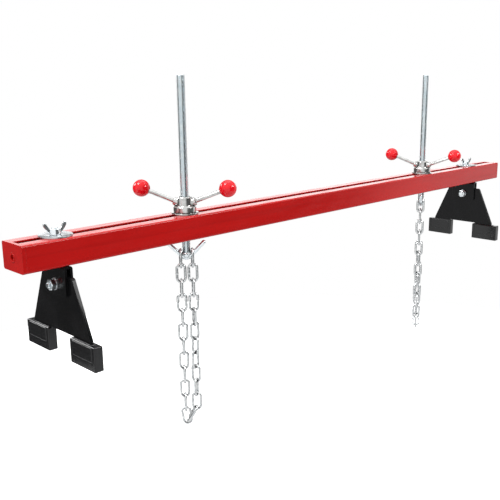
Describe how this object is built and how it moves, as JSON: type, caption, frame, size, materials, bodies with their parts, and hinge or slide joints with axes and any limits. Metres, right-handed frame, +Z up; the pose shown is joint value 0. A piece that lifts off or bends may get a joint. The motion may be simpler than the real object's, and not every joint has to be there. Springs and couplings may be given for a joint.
{
  "type": "engine support bar",
  "caption": "Slotted red beam on pivoting rubber-booted legs, with threaded lifting rods turned by ball-knob hand nuts and doubled chains that hold an engine up.",
  "frame": {"origin": "midway between the legs, in the plane of the four boot soles", "axes": "+X along the beam towards the far leg, +Y to the rear, +Z up"},
  "size_m": [1.5016, 0.212, 0.6729],
  "materials": {
    "red_paint": "gloss red paint on pressed steel",
    "black_paint": "satin black powder coat",
    "boot_rubber": "moulded black rubber",
    "zinc_plate": "bright zinc plate",
    "chain_zinc": "bright zinc plate on welded wire",
    "turned_steel": "machined and plated steel",
    "knob_plastic": "polished red plastic"
  },
  "bodies": {
    "beam": {"front_channel": "red_paint", "rear_channel": "red_paint", "near_end_plate": "red_paint", "far_end_plate": "red_paint"},
    "near_clamp": {"near_saddle": "black_paint", "near_clamp_stud": "zinc_plate", "near_clamp_washer": "zinc_plate", "near_pivot_bolt": "zinc_plate", "near_pivot_nut": "zinc_plate", "near_pivot_washers": "zinc_plate"},
    "near_leg": {"near_leg_plate": "black_paint", "near_boots": "boot_rubber"},
    "near_wing": {"near_wing_nut": "zinc_plate"},
    "near_slider": {"near_thrust_washer": "turned_steel"},
    "near_hand_nut": {"near_hand_nut": "turned_steel", "near_levers": "turned_steel", "near_knobs": "knob_plastic"},
    "near_rod": {"near_lift_rod": "zinc_plate", "near_hook": "zinc_plate"},
    "near_chain_01": {"near_chain_01": "chain_zinc"},
    "near_chain_02": {"near_chain_02": "chain_zinc"},
    "near_chain_03": {"near_chain_03": "chain_zinc"},
    "near_chain_04": {"near_chain_04": "chain_zinc"},
    "near_chain_05": {"near_chain_05": "chain_zinc"},
    "near_chain_06": {"near_chain_06": "chain_zinc"},
    "near_chain_07": {"near_chain_07": "chain_zinc"},
    "near_chain_08": {"near_chain_08": "chain_zinc"},
    "near_chain_09": {"near_chain_09": "chain_zinc"},
    "near_chain_10": {"near_chain_10": "chain_zinc"},
    "near_chain_11": {"near_chain_11": "chain_zinc"},
    "near_chain_12": {"near_chain_12": "chain_zinc"},
    "far_clamp": {"far_saddle": "black_paint", "far_clamp_stud": "zinc_plate", "far_clamp_washer": "zinc_plate", "far_pivot_bolt": "zinc_plate", "far_pivot_nut": "zinc_plate", "far_pivot_washers": "zinc_plate"},
    "far_leg": {"far_leg_plate": "black_paint", "far_boots": "boot_rubber"},
    "far_wing": {"far_wing_nut": "zinc_plate"},
    "far_slider": {"far_thrust_washer": "turned_steel"},
    "far_hand_nut": {"far_hand_nut": "turned_steel", "far_levers": "turned_steel", "far_knobs": "knob_plastic"},
    "far_rod": {"far_lift_rod": "zinc_plate", "far_hook": "zinc_plate"},
    "far_chain_01": {"far_chain_01": "chain_zinc"},
    "far_chain_02": {"far_chain_02": "chain_zinc"},
    "far_chain_03": {"far_chain_03": "chain_zinc"},
    "far_chain_04": {"far_chain_04": "chain_zinc"},
    "far_chain_05": {"far_chain_05": "chain_zinc"},
    "far_chain_06": {"far_chain_06": "chain_zinc"},
    "far_chain_07": {"far_chain_07": "chain_zinc"},
    "far_chain_08": {"far_chain_08": "chain_zinc"},
    "far_chain_09": {"far_chain_09": "chain_zinc"},
    "far_chain_10": {"far_chain_10": "chain_zinc"},
    "far_chain_11": {"far_chain_11": "chain_zinc"},
    "far_chain_12": {"far_chain_12": "chain_zinc"}
  },
  "joints": [
    {"name": "near_clamp_slide", "type": "slide", "parent": "beam", "child": "near_clamp", "axis": [1, 0, 0], "range_m": [-0.03, 0.12]},
    {"name": "near_leg_pivot", "type": "hinge", "parent": "near_clamp", "child": "near_leg", "pos_m": [-0.675, 0, 0.124], "axis": [1, 0, 0], "range_deg": [-18, 18]},
    {"name": "near_wing_nut_turn", "type": "hinge", "parent": "near_clamp", "child": "near_wing", "pos_m": [-0.675, 0, 0.2045], "axis": [0, 0, 1], "continuous": true},
    {"name": "near_rod_travel", "type": "slide", "parent": "beam", "child": "near_slider", "axis": [1, 0, 0], "range_m": [-0.08, 0.35]},
    {"name": "near_hand_nut_turn", "type": "hinge", "parent": "near_slider", "child": "near_hand_nut", "pos_m": [-0.408, 0, 0.205], "axis": [0, 0, 1], "range_deg": [-36000, 720]},
    {"name": "near_rod_lift", "type": "slide", "parent": "near_slider", "child": "near_rod", "axis": [0, 0, 1], "range_m": [-0.2, 0.004]},
    {"name": "near_chain_swing", "type": "hinge", "parent": "near_rod", "child": "near_chain_01", "pos_m": [-0.408, 0, 0.125], "axis": [0.8192, -0.5736, 0], "range_deg": [-30, 30]},
    {"name": "near_chain_curl", "type": "hinge", "parent": "near_chain_01", "child": "near_chain_02", "pos_m": [-0.408, 0, 0.1056], "axis": [0.8192, -0.5736, 0], "range_deg": [-6, 6]},
    {"name": "near_chain_joint_03", "type": "hinge", "parent": "near_chain_02", "child": "near_chain_03", "pos_m": [-0.408, 0, 0.0713], "axis": [0.8192, -0.5736, 0], "range_deg": [-6, 6]},
    {"name": "near_chain_joint_04", "type": "hinge", "parent": "near_chain_03", "child": "near_chain_04", "pos_m": [-0.408, 0, 0.0476], "axis": [0.8192, -0.5736, 0], "range_deg": [-6, 6]},
    {"name": "near_chain_joint_05", "type": "hinge", "parent": "near_chain_04", "child": "near_chain_05", "pos_m": [-0.408, 0, 0.0133], "axis": [0.8192, -0.5736, 0], "range_deg": [-6, 6]},
    {"name": "near_chain_joint_06", "type": "hinge", "parent": "near_chain_05", "child": "near_chain_06", "pos_m": [-0.408, 0, -0.0104], "axis": [0.8192, -0.5736, 0], "range_deg": [-6, 6]},
    {"name": "near_chain_joint_07", "type": "hinge", "parent": "near_chain_06", "child": "near_chain_07", "pos_m": [-0.408, 0, -0.0447], "axis": [0.8192, -0.5736, 0], "range_deg": [-6, 6]},
    {"name": "near_chain_joint_08", "type": "hinge", "parent": "near_chain_07", "child": "near_chain_08", "pos_m": [-0.408, 0, -0.0684], "axis": [0.8192, -0.5736, 0], "range_deg": [-6, 6]},
    {"name": "near_chain_joint_09", "type": "hinge", "parent": "near_chain_08", "child": "near_chain_09", "pos_m": [-0.408, 0, -0.1027], "axis": [0.8192, -0.5736, 0], "range_deg": [-6, 6]},
    {"name": "near_chain_joint_10", "type": "hinge", "parent": "near_chain_09", "child": "near_chain_10", "pos_m": [-0.408, 0, -0.1264], "axis": [0.8192, -0.5736, 0], "range_deg": [-6, 6]},
    {"name": "near_chain_joint_11", "type": "hinge", "parent": "near_chain_10", "child": "near_chain_11", "pos_m": [-0.408, 0, -0.1607], "axis": [0.8192, -0.5736, 0], "range_deg": [-6, 6]},
    {"name": "near_chain_joint_12", "type": "hinge", "parent": "near_chain_11", "child": "near_chain_12", "pos_m": [-0.408, 0, -0.1844], "axis": [0.8192, -0.5736, 0], "range_deg": [-6, 6]},
    {"name": "far_clamp_slide", "type": "slide", "parent": "beam", "child": "far_clamp", "axis": [1, 0, 0], "range_m": [-0.08, 0.09]},
    {"name": "far_leg_pivot", "type": "hinge", "parent": "far_clamp", "child": "far_leg", "pos_m": [0.621, 0, 0.124], "axis": [1, 0, 0], "range_deg": [-18, 18]},
    {"name": "far_wing_nut_turn", "type": "hinge", "parent": "far_clamp", "child": "far_wing", "pos_m": [0.621, 0, 0.2045], "axis": [0, 0, 1], "continuous": true},
    {"name": "far_rod_travel", "type": "slide", "parent": "beam", "child": "far_slider", "axis": [1, 0, 0], "range_m": [-0.35, 0.08]},
    {"name": "far_hand_nut_turn", "type": "hinge", "parent": "far_slider", "child": "far_hand_nut", "pos_m": [0.393, 0, 0.205], "axis": [0, 0, 1], "range_deg": [-36000, 720]},
    {"name": "far_rod_lift", "type": "slide", "parent": "far_slider", "child": "far_rod", "axis": [0, 0, 1], "range_m": [-0.2, 0.004]},
    {"name": "far_chain_swing", "type": "hinge", "parent": "far_rod", "child": "far_chain_01", "pos_m": [0.393, 0, 0.125], "axis": [0.848, 0.5299, 0], "range_deg": [-30, 30]},
    {"name": "far_chain_curl", "type": "hinge", "parent": "far_chain_01", "child": "far_chain_02", "pos_m": [0.393, 0, 0.1056], "axis": [0.848, 0.5299, 0], "range_deg": [-6, 6]},
    {"name": "far_chain_joint_03", "type": "hinge", "parent": "far_chain_02", "child": "far_chain_03", "pos_m": [0.393, 0, 0.0713], "axis": [0.848, 0.5299, 0], "range_deg": [-6, 6]},
    {"name": "far_chain_joint_04", "type": "hinge", "parent": "far_chain_03", "child": "far_chain_04", "pos_m": [0.393, 0, 0.0476], "axis": [0.848, 0.5299, 0], "range_deg": [-6, 6]},
    {"name": "far_chain_joint_05", "type": "hinge", "parent": "far_chain_04", "child": "far_chain_05", "pos_m": [0.393, 0, 0.0133], "axis": [0.848, 0.5299, 0], "range_deg": [-6, 6]},
    {"name": "far_chain_joint_06", "type": "hinge", "parent": "far_chain_05", "child": "far_chain_06", "pos_m": [0.393, 0, -0.0104], "axis": [0.848, 0.5299, 0], "range_deg": [-6, 6]},
    {"name": "far_chain_joint_07", "type": "hinge", "parent": "far_chain_06", "child": "far_chain_07", "pos_m": [0.393, 0, -0.0447], "axis": [0.848, 0.5299, 0], "range_deg": [-6, 6]},
    {"name": "far_chain_joint_08", "type": "hinge", "parent": "far_chain_07", "child": "far_chain_08", "pos_m": [0.393, 0, -0.0684], "axis": [0.848, 0.5299, 0], "range_deg": [-6, 6]},
    {"name": "far_chain_joint_09", "type": "hinge", "parent": "far_chain_08", "child": "far_chain_09", "pos_m": [0.393, 0, -0.1027], "axis": [0.848, 0.5299, 0], "range_deg": [-6, 6]},
    {"name": "far_chain_joint_10", "type": "hinge", "parent": "far_chain_09", "child": "far_chain_10", "pos_m": [0.393, 0, -0.1264], "axis": [0.848, 0.5299, 0], "range_deg": [-6, 6]},
    {"name": "far_chain_joint_11", "type": "hinge", "parent": "far_chain_10", "child": "far_chain_11", "pos_m": [0.393, 0, -0.1607], "axis": [0.848, 0.5299, 0], "range_deg": [-6, 6]},
    {"name": "far_chain_joint_12", "type": "hinge", "parent": "far_chain_11", "child": "far_chain_12", "pos_m": [0.393, 0, -0.1844], "axis": [0.848, 0.5299, 0], "range_deg": [-6, 6]}
  ],
  "couplings": [
    {"joint": "near_rod_lift", "follows": "near_hand_nut_turn", "m_per_rad": 0.00031831},
    {"joint": "near_chain_joint_03", "follows": "near_chain_curl", "ratio": 1},
    {"joint": "near_chain_joint_04", "follows": "near_chain_curl", "ratio": 1},
    {"joint": "near_chain_joint_05", "follows": "near_chain_curl", "ratio": 1},
    {"joint": "near_chain_joint_06", "follows": "near_chain_curl", "ratio": 1},
    {"joint": "near_chain_joint_07", "follows": "near_chain_curl", "ratio": 1},
    {"joint": "near_chain_joint_08", "follows": "near_chain_curl", "ratio": 1},
    {"joint": "near_chain_joint_09", "follows": "near_chain_curl", "ratio": 1},
    {"joint": "near_chain_joint_10", "follows": "near_chain_curl", "ratio": 1},
    {"joint": "near_chain_joint_11", "follows": "near_chain_curl", "ratio": 1},
    {"joint": "near_chain_joint_12", "follows": "near_chain_curl", "ratio": 1},
    {"joint": "far_rod_lift", "follows": "far_hand_nut_turn", "m_per_rad": 0.00031831},
    {"joint": "far_chain_joint_03", "follows": "far_chain_curl", "ratio": 1},
    {"joint": "far_chain_joint_04", "follows": "far_chain_curl", "ratio": 1},
    {"joint": "far_chain_joint_05", "follows": "far_chain_curl", "ratio": 1},
    {"joint": "far_chain_joint_06", "follows": "far_chain_curl", "ratio": 1},
    {"joint": "far_chain_joint_07", "follows": "far_chain_curl", "ratio": 1},
    {"joint": "far_chain_joint_08", "follows": "far_chain_curl", "ratio": 1},
    {"joint": "far_chain_joint_09", "follows": "far_chain_curl", "ratio": 1},
    {"joint": "far_chain_joint_10", "follows": "far_chain_curl", "ratio": 1},
    {"joint": "far_chain_joint_11", "follows": "far_chain_curl", "ratio": 1},
    {"joint": "far_chain_joint_12", "follows": "far_chain_curl", "ratio": 1}
  ]
}
